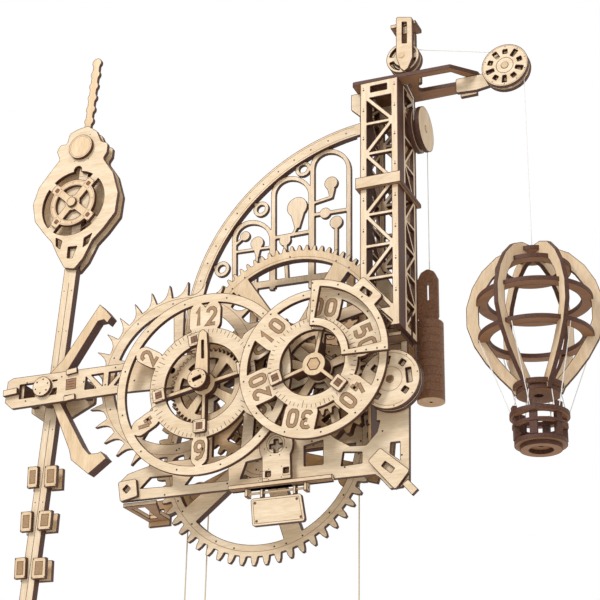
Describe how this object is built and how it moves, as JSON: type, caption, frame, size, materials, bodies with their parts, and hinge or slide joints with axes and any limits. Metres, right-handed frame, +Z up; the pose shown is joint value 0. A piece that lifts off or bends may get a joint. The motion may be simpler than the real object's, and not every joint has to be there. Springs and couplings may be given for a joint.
{
  "type": "wooden mechanical puzzle wall clock",
  "caption": "Plywood mechanical wall clock kit with geared numbered dials, a swinging pendulum, a lattice tower and a balloon hung from a jib.",
  "frame": {"origin": "on the wall plane, midway between the two wall screw holes in the rear frame", "axes": "+X to the right of the front view, +Y back into the wall, +Z up; the front faces -Y"},
  "size_m": [0.4814, 0.1012, 0.5482],
  "materials": {
    "birch_plywood": "satin, laser-cut with dark edges",
    "dark_plywood": "matte, laser-burnt edges",
    "beech_dowel": "matte",
    "cord": "matte",
    "thread": "matte"
  },
  "bodies": {
    "frame": {"front_frame": "birch_plywood", "front_plates": "birch_plywood", "front_bushes": "birch_plywood", "studs": "beech_dowel", "tower_front": "birch_plywood", "tower_rear": "birch_plywood", "tower_sides": "birch_plywood", "tower_collar": "birch_plywood", "jib_plate": "birch_plywood", "jib_brackets": "birch_plywood", "mast": "birch_plywood", "arc_ring": "birch_plywood", "arc_lattice": "birch_plywood", "window_mask": "birch_plywood", "hour_hand": "birch_plywood", "arm_rear_plate": "birch_plywood", "bottom_shelf": "birch_plywood", "rear_frame": "birch_plywood", "frame_spacers": "birch_plywood", "drive_cords": "cord", "run_thread": "thread"},
    "pendulum": {"pendulum_rod": "birch_plywood", "pendulum_bob": "birch_plywood", "pendulum_fittings": "birch_plywood", "anchor": "birch_plywood", "pendulum_hub": "birch_plywood"},
    "escape": {"escape_wheel": "birch_plywood", "escape_hub": "birch_plywood"},
    "upper": {"upper_wheel": "birch_plywood", "upper_arbor": "birch_plywood"},
    "idler": {"idler_wheel": "birch_plywood", "idler_hub": "birch_plywood"},
    "great": {"great_wheel": "birch_plywood", "winding_drum": "birch_plywood"},
    "minute": {"minute_dial": "birch_plywood", "minute_spider": "birch_plywood", "minute_retainers": "birch_plywood", "minute_wheel": "birch_plywood", "minute_arbor": "birch_plywood"},
    "transfer": {"transfer_wheel": "birch_plywood", "transfer_arbor": "birch_plywood"},
    "hour": {"hour_dial": "birch_plywood", "hour_spider": "birch_plywood", "hour_retainers": "birch_plywood", "hour_wheel": "birch_plywood", "hour_hub": "birch_plywood"},
    "knob": {"winding_knob": "birch_plywood"},
    "ratchet": {"ratchet_drum": "birch_plywood"},
    "outer_sheave": {"outer_pulley": "birch_plywood"},
    "mast_sheave": {"mast_pulley": "birch_plywood"},
    "side_sheave": {"side_pulley": "birch_plywood"},
    "balloon": {"balloon_ribs": "birch_plywood", "balloon_rings": "birch_plywood", "basket": "birch_plywood", "balloon_rigging": "thread", "lift_thread": "thread"},
    "counterweight": {"weight": "dark_plywood"},
    "sign": {"nameplate": "birch_plywood"}
  },
  "joints": [
    {"name": "upper_spin", "type": "hinge", "parent": "frame", "child": "upper", "pos_m": [-0.00607, -0.04, -0.02253], "axis": [0, 1, 0], "continuous": true},
    {"name": "escape_spin", "type": "hinge", "parent": "frame", "child": "escape", "pos_m": [-0.09397, -0.04, -0.03648], "axis": [0, 1, 0], "continuous": true},
    {"name": "idler_spin", "type": "hinge", "parent": "frame", "child": "idler", "pos_m": [0.02403, -0.04, -0.0151], "axis": [0, 1, 0], "continuous": true},
    {"name": "great_spin", "type": "hinge", "parent": "frame", "child": "great", "pos_m": [-0.0303, -0.04, -0.0958], "axis": [0, 1, 0], "continuous": true},
    {"name": "minute_spin", "type": "hinge", "parent": "frame", "child": "minute", "pos_m": [0.0272, -0.04, -0.0543], "axis": [0, 1, 0], "continuous": true},
    {"name": "transfer_spin", "type": "hinge", "parent": "frame", "child": "transfer", "pos_m": [-0.02862, -0.04, -0.06849], "axis": [0, 1, 0], "continuous": true},
    {"name": "hour_spin", "type": "hinge", "parent": "frame", "child": "hour", "pos_m": [-0.062, -0.04, -0.055], "axis": [0, 1, 0], "continuous": true},
    {"name": "knob_spin", "type": "hinge", "parent": "frame", "child": "knob", "pos_m": [0.0832, -0.04, -0.0722], "axis": [0, 1, 0], "continuous": true},
    {"name": "ratchet_spin", "type": "hinge", "parent": "frame", "child": "ratchet", "pos_m": [0.0355, -0.04, -0.077], "axis": [0, 1, 0], "continuous": true},
    {"name": "pendulum_swing", "type": "hinge", "parent": "frame", "child": "pendulum", "pos_m": [-0.2057, -0.03, -0.0348], "axis": [0, 1, 0], "range_deg": [-3, 3]},
    {"name": "balloon_lift", "type": "slide", "parent": "frame", "child": "balloon", "axis": [0, 0, 1], "range_m": [0, 0.1], "deforming": ["lift_thread"]},
    {"name": "weight_drop", "type": "slide", "parent": "frame", "child": "counterweight", "axis": [0, 0, -1], "range_m": [0, 0.1]},
    {"name": "outer_sheave_turn", "type": "hinge", "parent": "frame", "child": "outer_sheave", "pos_m": [0.1747, -0.0565, 0.1598], "axis": [0, 1, 0], "range_deg": [-480, 480]},
    {"name": "mast_sheave_turn", "type": "hinge", "parent": "frame", "child": "mast_sheave", "pos_m": [0.0962, -0.0569, 0.1846], "axis": [0, 1, 0], "range_deg": [-640, 640]},
    {"name": "side_sheave_turn", "type": "hinge", "parent": "frame", "child": "side_sheave", "pos_m": [0.1005, -0.035, 0.135], "axis": [1, 0, 0], "range_deg": [-400, 400]},
    {"name": "sign_swing", "type": "hinge", "parent": "frame", "child": "sign", "pos_m": [-0.005, -0.0505, -0.1414], "axis": [1, 0, 0], "range_deg": [-10, 10]}
  ],
  "couplings": [
    {"joint": "idler_spin", "follows": "upper_spin", "ratio": -0.47619},
    {"joint": "great_spin", "follows": "upper_spin", "ratio": 0.068027},
    {"joint": "escape_spin", "follows": "upper_spin", "ratio": -8.8889},
    {"joint": "minute_spin", "follows": "upper_spin", "ratio": -0.35294},
    {"joint": "transfer_spin", "follows": "upper_spin", "ratio": 0.11765},
    {"joint": "hour_spin", "follows": "upper_spin", "ratio": -0.029412},
    {"joint": "weight_drop", "follows": "balloon_lift", "ratio": 1},
    {"joint": "outer_sheave_turn", "follows": "balloon_lift", "rad_per_m": -78.125},
    {"joint": "mast_sheave_turn", "follows": "balloon_lift", "rad_per_m": -102.04},
    {"joint": "side_sheave_turn", "follows": "balloon_lift", "rad_per_m": -64.516}
  ]
}
